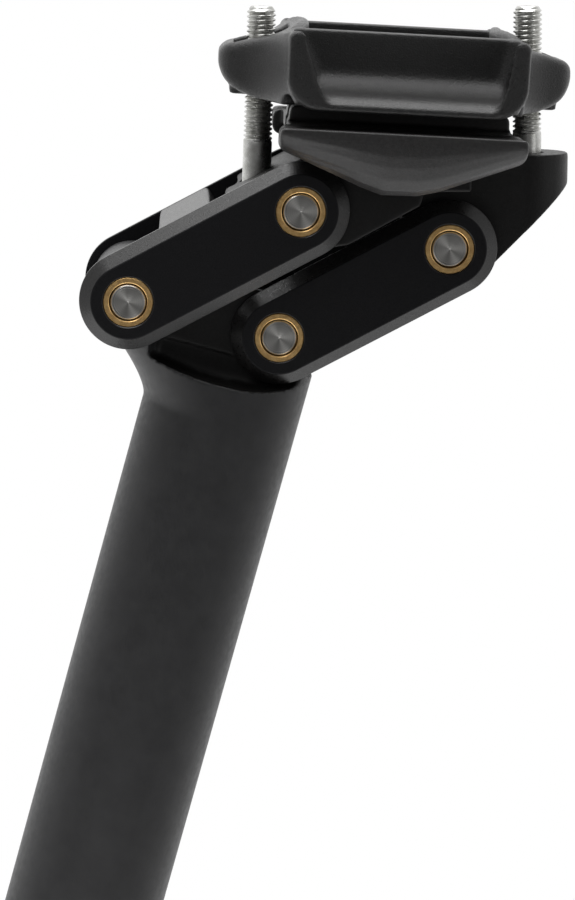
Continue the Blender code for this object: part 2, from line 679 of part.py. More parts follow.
def make_spring_side():
    crown = PIVOT_HEIGHT + pusher_level() - 0.05
    piston = part("spring_piston", cylinder("body", PISTON_RADIUS, PISTON_BOTTOM, BORE_TOP - 0.4, sides=32),
                  STEEL)
    join(piston, box("tongue", (-8.5, -5.2, BORE_TOP - 3), (8.5, 5.2, crown)))
    cut(piston, cylinder("hollow", 7.6, PISTON_BOTTOM - 1, PISTON_BOTTOM + 15))
    turned_part("piston_sleeve", TUBE_BORE - 0.1, PISTON_RADIUS + 0.1, PISTON_BOTTOM - 6, BORE_TOP - 1.0,
                BLACK_PLASTIC)
    part("main_spring", coil("main", 8.2, 3.2, SPRING_BOTTOM, SPRING_TOP, 11, 12), SPRING_STEEL)
    part("inner_spring", coil("inner", 5.0, 2.0, SPRING_BOTTOM, SPRING_TOP, 13, 10), SPRING_STEEL)
    seat_low = SPRING_BOTTOM - 3.3
    turned_part("spring_seat", 10.6, 3.0, seat_low, SPRING_BOTTOM - 0.3, STEEL)
    turned_part("spacer_tube", 10.6, 8.6, PLUG_HEIGHT + 0.8, seat_low - 0.3, BLACK_PLASTIC)
    plug = part("preload_plug", cylinder("plug", 10.9, 0.5, PLUG_HEIGHT + 0.5, sides=32), BLACK_ANODISED)
    cut(plug, cylinder("hex_socket", 4.6, -1, 8.5, sides=6))


make_post()
make_lower_axles()
make_upper_link()
make_lower_link()
make_carrier()
make_bolt("front_clamp_bolt", FRONT_NUT, FRONT_BOLT_SEAT)
make_bolt("rear_clamp_bolt", REAR_NUT, REAR_BOLT_SEAT)
make_cradle()
make_upper_clamp()
make_nut("front_barrel_nut", FRONT_NUT)
make_nut("rear_barrel_nut", REAR_NUT)
make_spring_side()
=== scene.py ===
"""Looks for the parallelogram suspension seatpost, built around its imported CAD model.

+Z runs up the tube, +X points to the rear of the bicycle and +Y to its right. The helpers
take millimetres and give meshes in metres.
"""
import math

import bmesh
import bpy
from mathutils import Matrix, Vector


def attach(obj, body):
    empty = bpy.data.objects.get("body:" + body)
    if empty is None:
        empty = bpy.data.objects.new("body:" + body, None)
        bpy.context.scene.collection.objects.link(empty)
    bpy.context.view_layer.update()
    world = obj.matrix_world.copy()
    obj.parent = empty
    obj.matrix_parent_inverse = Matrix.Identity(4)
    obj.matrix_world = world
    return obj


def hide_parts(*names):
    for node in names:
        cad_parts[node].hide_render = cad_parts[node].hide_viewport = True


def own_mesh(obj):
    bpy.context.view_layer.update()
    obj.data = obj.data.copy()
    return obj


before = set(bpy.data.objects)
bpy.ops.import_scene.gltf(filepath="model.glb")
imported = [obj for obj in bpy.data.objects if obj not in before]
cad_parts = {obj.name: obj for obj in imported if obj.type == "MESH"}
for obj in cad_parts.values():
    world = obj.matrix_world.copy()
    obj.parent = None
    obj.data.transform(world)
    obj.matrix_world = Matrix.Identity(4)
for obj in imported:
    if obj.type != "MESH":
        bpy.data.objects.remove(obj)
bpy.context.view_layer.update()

MM = 0.001

# The CAD model's own dimensions, in millimetres and degrees
PIVOT_HEIGHT = 308.0
TUBE_RADIUS = 13.6
TUBE_BORE = 11.1
FRONT_PIVOT_X = -20.5
REAR_PIVOT_X = 5.7
LINK_LENGTH = 32.3
LINK_ANGLE = 43.0
LINK_RADIUS = 8.2
LUG_RADIUS = 6.8
POST_LEAN = 15.5
TILT_AXIS = (17.0, 22.0)
CLAMP_TILT = 3.1
FRONT_NUT_REACH = 23.4
REAR_NUT_REACH = 22.1
RAIL_LEVEL = -7.0
RAIL_GRIP = 1.45
SEAM_HEIGHT = 286.0
PIN_RADIUS = 2.96
PIN_HOLE = 3.1
FRONT_PLATE = (14.4, 17.4)  # the inner and outer faces of each link's plates, from the middle plane
REAR_PLATE = (8.3, 11.0)
FRONT_BOLT_SEAT = 0.9  # where each bolt's head sits, above the carrier's pivot
REAR_BOLT_SEAT = 5.7

# The head, from its pivots' height
NECK = -16.8  # where it starts to leave the tube's round
HEAD_RISE = 13.8
HEAD_FLAT = 7.95  # how far its flats are from the middle plane
HEAD_MOUTH = (5.6, 12)  # the slot's half width and the height its cutters reach


# ---------------------------------------------------------------- frames

def turned(x, z, angle, parent=Matrix.Identity(4)):
    """The frame at a point of its parent's XZ plane, with X turned up by the angle."""
    return parent @ Matrix.Translation((x * MM, 0, z * MM)) @ Matrix.Rotation(-math.radians(angle), 4, "Y")


def polar(length, angle):
    return length * math.cos(math.radians(angle)), length * math.sin(math.radians(angle))


LINK_X, LINK_Z = polar(LINK_LENGTH, LINK_ANGLE)
HEAD = turned(0, PIVOT_HEIGHT, 0)
UPPER = turned(FRONT_PIVOT_X, PIVOT_HEIGHT, LINK_ANGLE)
LOWER = turned(REAR_PIVOT_X, PIVOT_HEIGHT, LINK_ANGLE)
CARRIER = turned(FRONT_PIVOT_X + LINK_X, PIVOT_HEIGHT + LINK_Z, POST_LEAN)
CLAMP = turned(*TILT_AXIS, -CLAMP_TILT, CARRIER)
REAR_UPPER = polar(REAR_PIVOT_X - FRONT_PIVOT_X, -POST_LEAN)


def nut_place(reach):
    x, z = polar(reach, -CLAMP_TILT)
    return TILT_AXIS[0] + x, TILT_AXIS[1] + z


FRONT_NUT_AT = nut_place(-FRONT_NUT_REACH)
REAR_NUT_AT = nut_place(REAR_NUT_REACH)
FRONT_NUT = turned(*FRONT_NUT_AT, -1.8, CARRIER)
REAR_NUT = turned(*REAR_NUT_AT, 0.5, CARRIER)


# ---------------------------------------------------------------- outlines

def arc(x, z, radius, start, end, steps):
    """Points round a centre, from one angle in degrees to another."""
    turns = [start + (end - start) * i / steps for i in range(steps + 1)]
    return [(x + radius * math.cos(math.radians(t)), z + radius * math.sin(math.radians(t))) for t in turns]


def circle(x, z, radius, sides=64):
    return arc(x, z, radius, 0, 360 - 360 / sides, sides - 1)


def stadium(length, radius):
    """A round-ended bar's outline, from one centre to the other."""
    return arc(0, 0, radius, 90, 270, 40) + arc(length, 0, radius, -90, 90, 40)


def rounded(corners, radius, steps=8):
    """A polygon with its corners eased by about this radius."""
    points = []
    for i, corner in enumerate(corners):
        here = Vector(corner)
        before = Vector(corners[i - 1]) - here
        after = Vector(corners[(i + 1) % len(corners)]) - here
        half = before.angle(after) / 2
        reach = min(radius / math.tan(half), 0.45 * before.length, 0.45 * after.length)
        start, end = here + before.normalized() * reach, here + after.normalized() * reach
        for step in range(steps + 1):
            t = step / steps
            points.append(tuple(start.lerp(here, t).lerp(here.lerp(end, t), t)))
    return points


def hull(points):
    """The convex outline round these points."""
    ordered = sorted(set(points))

    def turn(a, b, c):
        return (b[0] - a[0]) * (c[1] - a[1]) - (b[1] - a[1]) * (c[0] - a[0])

    def chain(run):
        kept = []
        for p in run:
            while len(kept) > 1 and turn(kept[-2], kept[-1], p) <= 0:
                kept.pop()
            kept.append(p)
        return kept[:-1]

    return chain(ordered) + chain(ordered[::-1])


def spline(stations, count):
    """Stations of numbers joined by a smooth Catmull-Rom run with this many steps in each gap."""
    run = []
    for i in range(len(stations) - 1):
        around = [stations[min(max(j, 0), len(stations) - 1)] for j in (i - 1, i, i + 1, i + 2)]
        for step in range(count):
            t = step / count
            run.append(tuple(0.5 * (2 * b + (c - a) * t + (2 * a - 5 * b + 4 * c - d) * t * t
                                    + (3 * b - a - 3 * c + d) * t ** 3) for a, b, c, d in zip(*around)))
    return run + [tuple(stations[-1])]


# ---------------------------------------------------------------- meshes

def closed(bm, name):
    bmesh.ops.remove_doubles(bm, verts=bm.verts, dist=0.000002)
    bmesh.ops.recalc_face_normals(bm, faces=bm.faces)
    mesh = bpy.data.meshes.new(name)
    bm.to_mesh(mesh)
    bm.free()
    return mesh


def loft(name, sections, caps=True):
    """A skin over sections of points, with as many points in each."""
    bm = bmesh.new()
    rings = [[bm.verts.new(Vector(p) * MM) for p in section] for section in sections]
    count = len(rings[0])
    for lower, upper in zip(rings, rings[1:]):
        for i in range(count):
            j = (i + 1) % count
            bm.faces.new((lower[i], lower[j], upper[j], upper[i]))
    if caps:
        bm.faces.new(rings[0][::-1])
        bm.faces.new(rings[-1])
    return closed(bm, name)


def prism(name, outline, low, high):
    """An XZ outline drawn out along Y."""
    return loft(name, [[(x, y, z) for x, z in outline] for y in (low, high)])


def box(name, low, high):
    (x0, y0, z0), (x1, y1, z1) = low, high
    return prism(name, [(x0, z0), (x1, z0), (x1, z1), (x0, z1)], y0, y1)


def spun(profile, along, at, sides):
    """The rings that a profile of (radius, height) pairs makes about an axis."""
    sections = []
    for radius, height in profile:
        ring = circle(0, 0, radius, sides)
        if along == "Z":
            sections.append([(at[0] + a, at[1] + b, height) for a, b in ring])
        else:
            sections.append([(at[0] + a, height, at[1] + b) for a, b in ring])
    return sections


def lathe(name, profile, along="Z", at=(0, 0), sides=64):
    """A profile turned into a solid; a radius of 0 closes it to a point."""
    return loft(name, spun([(max(radius, 0.0005), height) for radius, height in profile], along, at, sides))


def sleeve(name, profile, along, at):
    """A closed profile turned into a ring."""
    return loft(name, spun(profile + profile[:1], along, at, 64), caps=False)


def cylinder(name, radius, low, high, along="Z", at=(0, 0), sides=64):
    return lathe(name, [(radius, low), (radius, high)], along, at, sides)


def merged(name, meshes):
    bm = bmesh.new()
    for mesh in meshes:
        bm.from_mesh(mesh)
    out = bpy.data.meshes.new(name)
    bm.to_mesh(out)
    bm.free()
    return out


def other_side(mesh):
    """The mesh mirrored in the middle plane."""
    bm = bmesh.new()
    bm.from_mesh(mesh)
    bm.transform(Matrix.Diagonal((1, -1, 1, 1)))
    bmesh.ops.reverse_faces(bm, faces=bm.faces)
    out = bpy.data.meshes.new(mesh.name + "_mirrored")
    bm.to_mesh(out)
    bm.free()
    return out


def worked(mesh, *steps):
    """The mesh after Booleans and other modifiers, each given as (kind, settings)."""
    base = bpy.data.objects.new("working", mesh)
    bpy.context.scene.collection.objects.link(base)
    tools = []
    for kind, settings in steps:
        if kind in ("UNION", "DIFFERENCE"):
            tool = bpy.data.objects.new("tool", settings)
            bpy.context.scene.collection.objects.link(tool)
            tools.append(tool)
            change = base.modifiers.new("step", "BOOLEAN")
            change.operation, change.solver, change.object = kind, "EXACT", tool
        else:
            change = base.modifiers.new("step", kind)
            for key, value in settings.items():
                setattr(change, key, value)
    evaluated = base.evaluated_get(bpy.context.evaluated_depsgraph_get())
    result = bpy.data.meshes.new_from_object(evaluated)
    for thing in tools + [base]:
        bpy.data.objects.remove(thing)
    return result


def forged(mesh, *steps, holes=(), voxel=0.28, rounds=7, share=0.35):
    """A solid with its edges softened, as forging and blasting leave them.

    Each hole is cut after a remesh of its own. The mesh is smoothed in rounds and keeps this share of its faces.
    """
    remesh = ("REMESH", {"mode": "VOXEL", "voxel_size": voxel * MM})
    solid = worked(mesh, *steps, remesh)
    for hole in holes:
        solid = worked(solid, ("DIFFERENCE", hole), remesh)
    return worked(solid, ("SMOOTH", {"factor": 0.5, "iterations": rounds}), ("DECIMATE", {"ratio": share}))


def piece(name, mesh, body, look, *nodes, place=None, sharp=None):
    """A finished piece that rides on a body and stands for these CAD nodes."""
    if place is not None:
        mesh.transform(place)
    thing = bpy.data.objects.new(name, mesh)
    mesh.materials.clear()
    mesh.materials.append(look)
    mesh.shade_smooth()
    if sharp:
        mesh.set_sharp_from_angle(angle=math.radians(sharp))
    bpy.context.scene.collection.objects.link(thing)
    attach(thing, body)
    if nodes:
        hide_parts(*nodes)
    return thing


# ---------------------------------------------------------------- materials

def surface(name, colour, roughness, metallic=0.0, specular=0.5):
    """A material and its shader, with the values that hold where no node is linked."""
    made = bpy.data.materials.new(name)
    made.use_nodes = True
    shader = made.node_tree.nodes["Principled BSDF"]
    shader.inputs["Base Color"].default_value = (*colour, 1)
    shader.inputs["Roughness"].default_value = roughness
    shader.inputs["Metallic"].default_value = metallic
    shader.inputs["Specular IOR Level"].default_value = specular
    return made, shader


def link(made, output, target):
    made.node_tree.links.new(output, target)


def node(made, kind, **settings):
    """A new node, each setting going to the input or the property of that name."""
    new = made.node_tree.nodes.new(kind)
    for key, value in settings.items():
        if key in new.inputs:
            new.inputs[key].default_value = value
        else:
            setattr(new, key, value)
    return new


def noise(made, scale, detail=3.0, rough=0.5, stretch=(1, 1, 1)):
    """A noise in the object's own metres, so its grain has a real size."""
    coords = node(made, "ShaderNodeTexCoord")
    mapping = node(made, "ShaderNodeMapping")
    mapping.inputs["Scale"].default_value = stretch
    link(made, coords.outputs["Object"], mapping.inputs["Vector"])
    grain = node(made, "ShaderNodeTexNoise", Scale=scale, Detail=detail, Roughness=rough)
    link(made, mapping.outputs["Vector"], grain.inputs["Vector"])
    return grain.outputs["Fac"]


def ramp(made, fac, low, high, start=0.3, end=0.7):
    """The factor mapped between two colours or greys."""
    new = node(made, "ShaderNodeValToRGB")
    grey = [v if isinstance(v, tuple) else (v, v, v) for v in (low, high)]
    new.color_ramp.elements[0].position, new.color_ramp.elements[1].position = start, end
    new.color_ramp.elements[0].color, new.color_ramp.elements[1].color = (*grey[0], 1), (*grey[1], 1)
    link(made, fac, new.inputs["Fac"])
    return new.outputs["Color"]


def set_levels(shades, levels, tint=(1, 1, 1)):
    """Gives a colour ramp these (place, level) pairs, each level times the tint."""
    elements = shades.color_ramp.elements
    while len(elements) < len(levels):
        elements.new(0.5)
    for element, (place, level) in zip(elements, levels):
        element.position, element.color = place, (*[level * share for share in tint], 1)


def bump(made, shader, height, distance):
    """Relief of this depth in millimetres, on top of any before it."""
    new = node(made, "ShaderNodeBump", Strength=1.0, Distance=distance * MM)
    link(made, height, new.inputs["Height"])
    before = shader.inputs["Normal"]
    if before.is_linked:
        link(made, before.links[0].from_socket, new.inputs["Normal"])
    link(made, new.outputs["Normal"], before)


def satin_paint():
    made, shader = surface("satin_black_paint", (0.022, 0.022, 0.023), 0.42, 0.0, 0.45)
    link(made, ramp(made, noise(made, 260, 4), (0.019, 0.019, 0.020), (0.027, 0.027, 0.028)),
         shader.inputs["Base Color"])
    link(made, ramp(made, noise(made, 900, 5), 0.38, 0.50), shader.inputs["Roughness"])
    bump(made, shader, noise(made, 1600, 3), 0.012)
    bump(made, shader, noise(made, 5200, 2), 0.006)
    return made


def forged_black(name, colour, rough, grain=0.02, specular=0.5):
    """Blasted and coated aluminium, with a fine even tooth."""
    made, shader = surface(name, (colour, colour, colour), rough, 0.0, specular)
    dark, light = (colour * 0.6, colour * 0.57, colour * 0.56), (colour * 1.55, colour * 1.48, colour * 1.47)
    link(made, ramp(made, noise(made, 1900, 5, 0.7), dark, light), shader.inputs["Base Color"])
    link(made, ramp(made, noise(made, 2600, 5, 0.7), rough - 0.10, rough + 0.10), shader.inputs["Roughness"])
    bump(made, shader, noise(made, 3600, 4, 0.7), grain)
    return made


def anodised_black():
    made, shader = surface("black_anodising", (0.005, 0.005, 0.006), 0.42, 0.0, 0.22)
    link(made, ramp(made, noise(made, 4200, 5, 0.7), (0.002, 0.002, 0.003), (0.008, 0.008, 0.009)),
         shader.inputs["Base Color"])
    link(made, ramp(made, noise(made, 3000, 4), 0.42, 0.58), shader.inputs["Roughness"])
    bump(made, shader, noise(made, 4200, 5, 0.7), 0.02)
    return made


def turned_steel():
    """Steel faced on a lathe: fine rings round the Y axis through the object's middle, with a painted sheen of lighter
    and darker wedges round that axis.
    """
    made, shader = surface("turned_steel", (0.62, 0.62, 0.62 * 0.96), 0.3, 1.0)
    coords = node(made, "ShaderNodeTexCoord")
    mapping = node(made, "ShaderNodeMapping")
    mapping.inputs["Location"].default_value = (-0.5, -0.5, -0.5)
    link(made, coords.outputs["Generated"], mapping.inputs["Vector"])
    rings = node(made, "ShaderNodeTexWave", wave_type="RINGS", rings_direction="Y", Scale=5.2, Distortion=0.8,
                 Detail=3.0)
    rings.inputs["Detail Scale"].default_value = 2.5
    link(made, mapping.outputs["Vector"], rings.inputs["Vector"])
    turn = node(made, "ShaderNodeMapping")
    turn.inputs["Rotation"].default_value = (math.radians(90), 0, 0)
    link(made, mapping.outputs["Vector"], turn.inputs["Vector"])
    around = node(made, "ShaderNodeTexGradient", gradient_type="RADIAL")
    link(made, turn.outputs["Vector"], around.inputs["Vector"])
    # Painted sheen: the base colour goes lighter and darker in wedges round the axle, standing in for the highlights
    # that turned faces catch
    painted_sheen = node(made, "ShaderNodeValToRGB")
    painted_sheen.color_ramp.interpolation = "EASE"
    set_levels(painted_sheen, ((0.0, 0.50), (0.1, 0.86), (0.2, 0.44), (0.33, 0.50), (0.45, 0.80), (0.55, 0.48), (0.63, 0.86),
                     (0.74, 0.42), (0.86, 0.64), (1.0, 0.50)), tint=(1, 0.985, 0.95))
    link(made, around.outputs["Fac"], painted_sheen.inputs["Fac"])
    lines = ramp(made, rings.outputs["Fac"], 0.90, 0.95, 0.15, 0.7)
    tint = node(made, "ShaderNodeMix", data_type="RGBA", blend_type="MULTIPLY")
    tint.inputs["Factor"].default_value = 1.0
    colours = [i for i in tint.inputs if i.type == "RGBA"]
    link(made, painted_sheen.outputs["Color"], colours[0])
    link(made, lines, colours[1])
    link(made, next(o for o in tint.outputs if o.type == "RGBA"), shader.inputs["Base Color"])
    link(made, ramp(made, rings.outputs["Fac"], 0.29, 0.33), shader.inputs["Roughness"])
    bump(made, shader, rings.outputs["Fac"], 0.001)
    return made


def plated_steel():
    made, shader = surface("zinc_plate", (0.62, 0.62, 0.60), 0.3, 1.0)
    link(made, ramp(made, noise(made, 700, 4), (0.52, 0.52, 0.49), (0.80, 0.80, 0.78)),
         shader.inputs["Base Color"])
    link(made, ramp(made, noise(made, 1500, 4), 0.22, 0.42), shader.inputs["Roughness"])
    bump(made, shader, noise(made, 3000, 3), 0.01)
    return made


def bronze():
    made, shader = surface("bronze", (0.85, 0.56, 0.24), 0.34, 1.0)
    link(made, ramp(made, noise(made, 1400, 4), (0.78, 0.48, 0.19), (0.98, 0.66, 0.29)),
         shader.inputs["Base Color"])
    link(made, ramp(made, noise(made, 2600, 3), 0.28, 0.44), shader.inputs["Roughness"])
    bump(made, shader, noise(made, 3800, 3), 0.008)
    return made


def plain_steel(name, colour, rough):
    made, shader = surface(name, (colour,) * 3, rough, 1.0)
    link(made, ramp(made, noise(made, 900, 4, stretch=(1, 1, 8)), (colour * 0.85,) * 3, (colour * 1.15,) * 3),
         shader.inputs["Base Color"])
    link(made, ramp(made, noise(made, 2000, 3), rough - 0.06, rough + 0.08), shader.inputs["Roughness"])
    bump(made, shader, noise(made, 2500, 3), 0.008)
    return made


def moulded_plastic():
    made, shader = surface("moulded_plastic", (0.02, 0.02, 0.021), 0.5)
    link(made, ramp(made, noise(made, 1800, 4), 0.44, 0.6), shader.inputs["Roughness"])
    bump(made, shader, noise(made, 2600, 3), 0.01)
    return made


PAINT = satin_paint()
FORGED = forged_black("forged_black", 0.005, 0.33, 0.13, 0.62)
CRADLE_BLACK = forged_black("cradle_black", 0.017, 0.40, 0.05, 0.6)
CARRIER_BLACK = forged_black("carrier_black", 0.005, 0.42, 0.04, 0.32)
ANODISED = anodised_black()
CHAMFER = forged_black("chamfer_black", 0.009, 0.33, 0.02, 0.6)
TURNED = turned_steel()
ZINC = plated_steel()
BRONZE = bronze()
GROUND = plain_steel("ground_steel", 0.42, 0.32)
SPRING_STEEL = plain_steel("spring_steel", 0.14, 0.38)
PLASTIC = moulded_plastic()


# ---------------------------------------------------------------- post

def head_section(z):
    """The head's outline at a height: the tube's round, swelling and squaring towards the front."""
    rise = max(0.0, z - NECK)
    front = TUBE_RADIUS + 0.35 * rise ** 1.4
    fullness = 1 - 0.03 * rise
    loop = []
    for x, y in circle(0, 0, 1, 128):
        if x < -0.001:
            x = -abs(x) ** fullness * front / TUBE_RADIUS
            y = math.copysign(abs(y) ** fullness, y)
        loop.append((TUBE_RADIUS * x, TUBE_RADIUS * y, z))
    return loop


def shelf_height(x):
    """The dished floor under the head's flats."""
    return -9.9 + (0.0075 if x < -1.4 else 0.014) * (x + 1.4) ** 2


def make_post():
    seam = SEAM_HEIGHT - PIVOT_HEIGHT
    heights = [seam - 3] + [NECK + HEAD_RISE * i / 20 for i in range(21)]
    cheeks = hull(arc(FRONT_PIVOT_X, 0, LUG_RADIUS - 1.6, 60, 250, 24)
                  + arc(REAR_PIVOT_X, 0, LUG_RADIUS, -20, 100, 24) + [(-16.5, -8), (10.8, -9)])
    steps = [("UNION", prism("cheeks", cheeks, -8, 8)),
             ("UNION", cylinder("lug", LUG_RADIUS, -14.1, 14.1, "Y", (FRONT_PIVOT_X, 0), 96))]
    stations = [(-15.2, 13.4), (-14.9, 10.5), (-14.2, 8.9)]
    stations += [(x, HEAD_FLAT) for x in (-13.2, -10, -6, -2, 2, 6, 9, 12, 20)]
    for side in (1, -1):
        sections = []
        for x, near in stations:
            low = shelf_height(x)
            cove = [(near, 12), (near, -5.2), (near - 0.4, -5.5)]
            cove += arc(near + 1.1, low + 1.5, 1.5, 180, 270, 8) + [(17, low - 0.5), (17, 12)]
            sections.append([(x, side * y, z) for y, z in cove])
        steps.append(("DIFFERENCE", loft("flat", sections)))
    half, above = HEAD_MOUTH
    steps += [("DIFFERENCE", box("slot", (-11.5, -half, -16), (10.4, half, above))),
              ("DIFFERENCE", box("rear_mouth", (10.0, -half, -6), (20, half, above))),
              ("DIFFERENCE", cylinder("bore", TUBE_BORE, -60, -15, sides=128)),
              ("DIFFERENCE", cylinder("front_hole", PIN_HOLE, -16, 16, "Y", (FRONT_PIVOT_X, 0))),
              ("DIFFERENCE", cylinder("rear_hole", PIN_HOLE, -16, 16, "Y", (REAR_PIVOT_X, 0)))]
    head = forged(loft("head", [head_section(z) for z in heights]), *steps, voxel=0.3, rounds=5, share=0.5)
    head.transform(HEAD)
    bm = bmesh.new()
    bm.from_mesh(head)
    level = SEAM_HEIGHT * MM
    bmesh.ops.bisect_plane(bm, geom=bm.verts[:] + bm.edges[:] + bm.faces[:], plane_co=(0, 0, level),
                           plane_no=(0, 0, -1), clear_outer=True)
    half_wall = 12.3
    for vert in bm.verts:  # the smoothed head's foot goes back to the tube's own round
        radius = math.hypot(vert.co.x, vert.co.y)
        if vert.co.z < (PIVOT_HEIGHT - 17.5) * MM and radius > 0:
            target = TUBE_RADIUS if radius > half_wall * MM else TUBE_BORE
            vert.co.x *= target * MM / radius
            vert.co.y *= target * MM / radius
    bm.to_mesh(head)
    bm.free()
    outer, inner = TUBE_RADIUS, TUBE_BORE
    profile = [(inner, SEAM_HEIGHT), (inner, 200), (inner, 100), (inner, 0.6), (inner + 0.5, 0.1),
               (inner + 0.8, 0), (outer - 0.8, 0), (outer - 0.4, 0.15), (outer - 0.1, 0.5), (outer, 1.0)]
    profile += [(outer, z) for z in (60, 120, 180, 240, SEAM_HEIGHT)]
    tube = loft("tube", [[(x, y, z) for x, y in circle(0, 0, r, 160)] for r, z in profile], caps=False)
    post = piece("seatpost_tube", merged("seatpost_tube", [head, tube]), "post", PAINT, "post_tube", sharp=50)
    # Faces between the head's flats above its shelf, and the up-facing shelf of the cove under the links' plates, take
    # the darker carrier black; on that shelf the darker black is painted shade
    post.data.materials.append(CARRIER_BLACK)
    for face in post.data.polygons:
        x, y, z = face.center / MM
        low = PIVOT_HEIGHT + shelf_height(x)
        on_flat = abs(y) < 8.2 and z > low
        shelf_in_painted_shade = abs(y) < 13.2 and z > low - 0.6 and face.normal.z > 0.35
        if x > -14.5 and (on_flat or shelf_in_painted_shade):
            face.material_index = 1


# ---------------------------------------------------------------- pins and bushes

def pin_profile(radius, low, high):
    """A turned pin with a chamfer, a faint step and a centre mark at each visible end."""
    face = [(0, 0.1), (0.12, 0.02), (0.16, 0.0), (radius - 0.62, 0.0), (radius - 0.58, 0.05),
            (radius - 0.50, 0.05), (radius - 0.46, 0.0), (radius - 0.24, 0.0), (radius - 0.04, 0.16),
            (radius, 0.26)]
    return [(r, low + d) for r, d in face] + [(r, high - d) for r, d in reversed(face)]


def make_pins():
    axle = lathe("axle", pin_profile(PIN_RADIUS, -17.35, 17.35), "Y", (FRONT_PIVOT_X, 0))
    piece("front_lower_axle_pin", axle, "post", TURNED, "front_lower_axle", place=HEAD, sharp=30)
    axle = lathe("axle", pin_profile(PIN_RADIUS, -10.95, 10.95), "Y", REAR_UPPER)
    piece("rear_upper_axle_pin", axle, "carrier", TURNED, "rear_upper_axle", place=CARRIER, sharp=30)
    for hand, flip in (("right", False), ("left", True)):
        stubs = (("rear_lower_stub", "post", HEAD, (REAR_PIVOT_X, 0), 5.72, 10.95, "rear_lower_stub_pin_"),
                 ("front_upper_stub", "carrier", CARRIER, (0, 0), 11.35, 17.35, "front_upper_stub_pin_"))
        for name, body, place, at, low, high, cad in stubs:
            stub = lathe(name, pin_profile(PIN_RADIUS, low, high), "Y", at)
            if flip:
                stub = other_side(stub)
            piece(f"{name}_{hand}", stub, body, TURNED, cad + hand, place=place, sharp=30)


def make_bushes():
    for prefix, (low, high), place in (("upper_link", FRONT_PLATE, UPPER), ("lower_link", REAR_PLATE, LOWER)):
        for end, x in (("lower", 0), ("upper", LINK_LENGTH)):
            profile = [(3.12, low + 0.1), (3.2, low), (4.08, low), (4.14, low + 0.1), (4.14, high - 0.16),
                       (4.02, high - 0.03), (3.32, high - 0.03), (3.2, high - 0.1), (3.12, high - 0.3)]
            bush = sleeve("bush", profile, "Y", (x, 0))
            for hand, mesh in (("right", bush), ("left", other_side(bush))):
                piece(f"{prefix}_{end}_bronze_{hand}", mesh, prefix, BRONZE, f"{prefix}_{end}_bush_{hand}",
                      place=place, sharp=30)


# ---------------------------------------------------------------- links

def link_plate(inner, outer):
    """A round-ended plate with a wide flat bevel round its outer face and eased corners."""
    r = LINK_RADIUS
    levels = [(inner, r - 0.2), (inner + 0.06, r - 0.06), (inner + 0.2, r), (outer - 2.08, r),
              (outer - 1.99, r - 0.05), (outer - 0.1, r - 1.94), (outer, r - 2.12)]
    plate = loft("plate", [[(x, y, z) for x, z in stadium(LINK_LENGTH, radius)] for y, radius in levels])
    steps = []
    for x in (0, LINK_LENGTH):
        bore = [(4.2, inner - 2), (4.2, outer - 0.12), (4.34, outer), (4.34, outer + 2)]
        steps.append(("DIFFERENCE", lathe("bore", bore, "Y", (x, 0))))
    return worked(plate, *steps)


def make_links():
    web = [(9.7, 3.5), (19.4, 3.5), (19.4, 8.15), (9.7, 8.15)]
    plate = link_plate(*FRONT_PLATE)
    body = prism("web", rounded(web, 0.9, 6), -14.9, 14.9)
    lug = hull(circle(15.5, -3.0, 2.6, 40) + [(13.0, 4.2), (18.0, 4.2)])
    steps = [("UNION", prism("lug", lug, *sorted((side * 2.4, side * 5.0)))) for side in (1, -1)]
    steps.append(("DIFFERENCE", cylinder("pin_hole", 1.55, -8, 8, "Y", (15.5, -3.0))))
    middle = worked(body, *steps)
    piece("front_link", merged("front_link", [plate, other_side(plate), middle]), "upper_link", ANODISED,
          "upper_link", place=UPPER, sharp=12)
    web = [(12.0, -8.1), (21.0, -8.1), (20.0, -4.5), (13.0, -4.5)]
    plate = link_plate(*REAR_PLATE)
    middle = prism("web", rounded(web, 0.9, 6), -8.8, 8.8)
    piece("rear_link", merged("rear_link", [plate, other_side(plate), middle]), "lower_link", ANODISED,
          "lower_link", place=LOWER, sharp=12)
    for name in ("front_link", "rear_link"):
        mesh = bpy.data.objects[name].data
        mesh.materials.append(CHAMFER)
        for face in mesh.polygons:
            if abs(face.normal.y) < 0.8:
                face.material_index = 1


# ---------------------------------------------------------------- carrier and bolts

def carrier_cylinder(radius, low, high, place, at):
    """A cylinder on a bolt's axis, between two heights above the carrier's pivot."""
    mesh = cylinder("hole", radius, low - at[1], high - at[1])
    mesh.transform(CARRIER.inverted() @ place)
    return mesh


